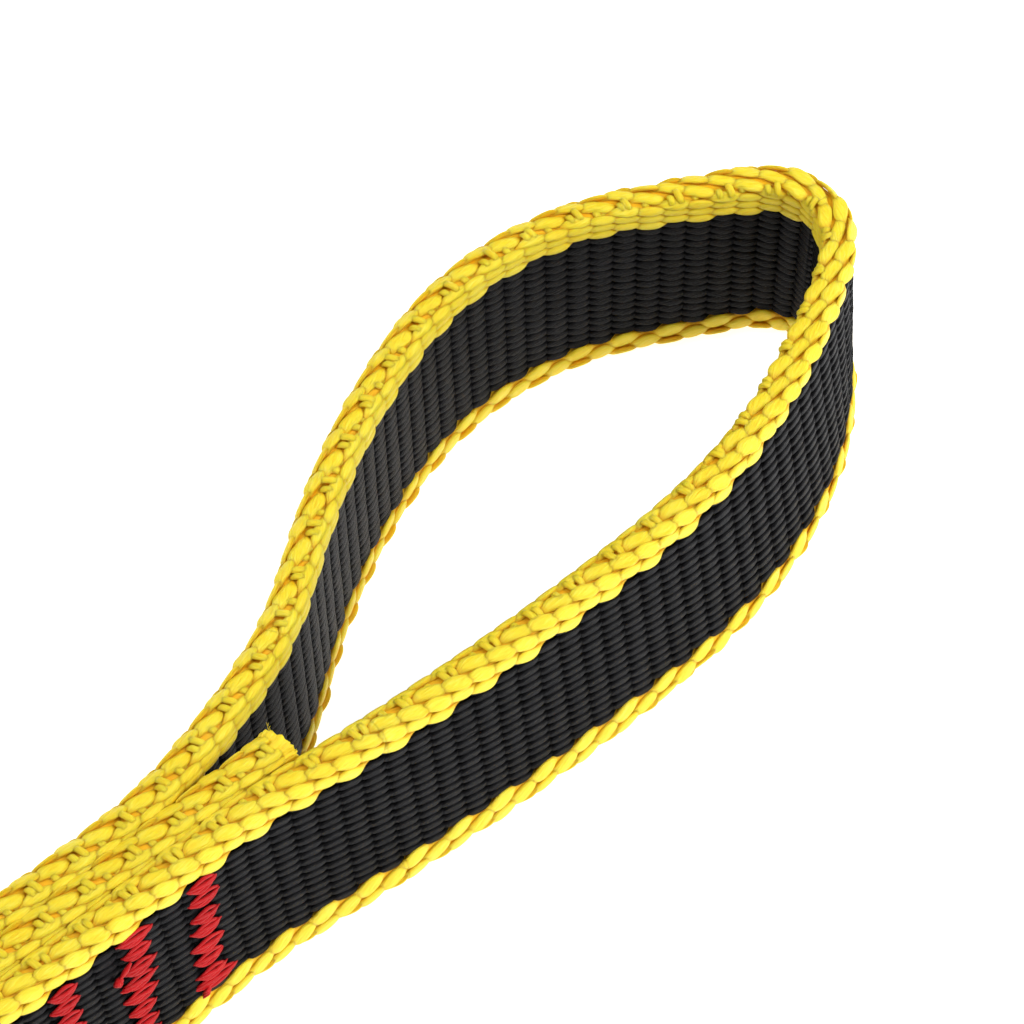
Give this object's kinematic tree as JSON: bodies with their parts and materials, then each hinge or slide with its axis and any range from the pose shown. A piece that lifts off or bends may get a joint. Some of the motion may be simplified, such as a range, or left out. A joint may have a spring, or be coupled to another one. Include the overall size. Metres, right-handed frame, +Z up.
{
  "type": "webbing tow rope handle",
  "caption": "Sewn hand loop of flat two-colour webbing, with a bar-tacked stem of folded plies and a small eye for the tow rope.",
  "frame": {"origin": "under the middle ply, between the fourth and fifth bar tacks from the hand loop, on the lower edge the webbing stands on", "axes": "+X along the stem towards the hand loop, +Y towards the back ply, +Z up across the width of the webbing"},
  "size_m": [0.1991, 0.0437, 0.025],
  "materials": {
    "black_web": "matte woven",
    "yellow_edge": "slightly lustrous woven",
    "red_thread": "lustrous sewing thread",
    "sealed_yarn": "melted and frayed yarn"
  },
  "bodies": {
    "stem": {"front_ply_web": "black_web", "front_ply_upper_edge": "yellow_edge", "front_ply_lower_edge": "yellow_edge", "middle_ply_web": "black_web", "middle_ply_upper_edge": "yellow_edge", "middle_ply_lower_edge": "yellow_edge", "back_ply_web": "black_web", "back_ply_upper_edge": "yellow_edge", "back_ply_lower_edge": "yellow_edge", "middle_ply_sealed_end": "sealed_yarn", "back_ply_sealed_end": "sealed_yarn", "bar_tack_1_front": "red_thread", "bar_tack_1_back": "red_thread", "bar_tack_2_front": "red_thread", "bar_tack_2_back": "red_thread", "bar_tack_3_front": "red_thread", "bar_tack_3_back": "red_thread", "bar_tack_4_front": "red_thread", "bar_tack_4_back": "red_thread", "bar_tack_5_front": "red_thread", "bar_tack_5_back": "red_thread", "bar_tack_6_front": "red_thread", "bar_tack_6_back": "red_thread", "bar_tack_7_front": "red_thread", "bar_tack_7_back": "red_thread", "bar_tack_8_front": "red_thread", "bar_tack_8_back": "red_thread"},
    "hand_loop": {"hand_loop_web": "black_web", "hand_loop_upper_edge": "yellow_edge", "hand_loop_lower_edge": "yellow_edge"},
    "tow_eye": {"tow_eye_web": "black_web", "tow_eye_upper_edge": "yellow_edge", "tow_eye_lower_edge": "yellow_edge"}
  },
  "joints": [
    {"name": "hand_loop_bend", "type": "hinge", "parent": "stem", "child": "hand_loop", "pos_m": [0.033, 0, 0.0125], "axis": [0, 0, 1], "range_deg": [-30, 30]},
    {"name": "tow_eye_bend", "type": "hinge", "parent": "stem", "child": "tow_eye", "pos_m": [-0.038, -0.00185, 0.0125], "axis": [0, 0, 1], "range_deg": [-30, 30]}
  ]
}
